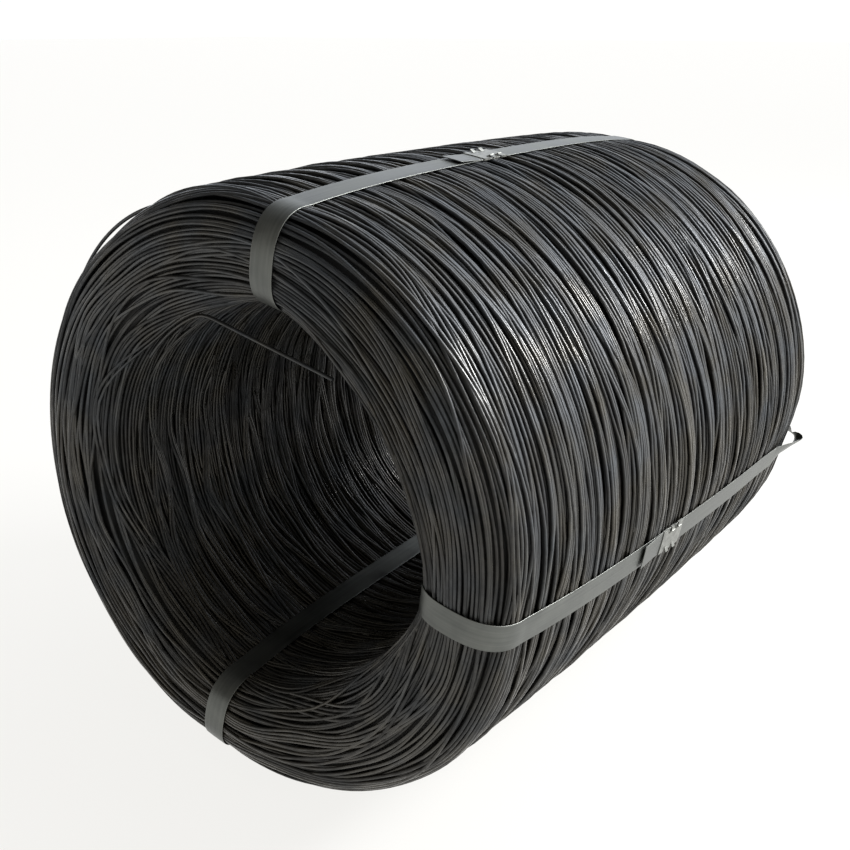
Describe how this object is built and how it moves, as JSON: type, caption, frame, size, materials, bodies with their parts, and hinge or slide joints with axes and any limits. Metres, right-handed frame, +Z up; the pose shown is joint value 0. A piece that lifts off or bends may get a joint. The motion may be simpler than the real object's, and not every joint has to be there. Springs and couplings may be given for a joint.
{
  "type": "coil of wire rod",
  "caption": "Thick-walled coil of dark annealed steel wire with rounded ends and an open bore, lying on its side, held by flat steel straps with notched seals.",
  "frame": {"origin": "on the floor under the middle of the coil, the centre of the underside of its box", "axes": "+X along the coil's axis from the near end to the far end, +Z up, -Y to the side that the picture shows"},
  "size_m": [0.9072, 0.7578, 0.7604],
  "materials": {
    "annealed_wire": "black annealed, satin oxide",
    "strap_steel": "cold rolled, dull grey",
    "seal_steel": "bright zinc plate"
  },
  "bodies": {
    "root": {"wire_coil": "annealed_wire", "top_strap": "strap_steel", "side_strap": "strap_steel", "bottom_strap": "strap_steel", "top_seal": "seal_steel", "side_seal": "seal_steel", "bottom_seal": "seal_steel"}
  },
  "joints": []
}
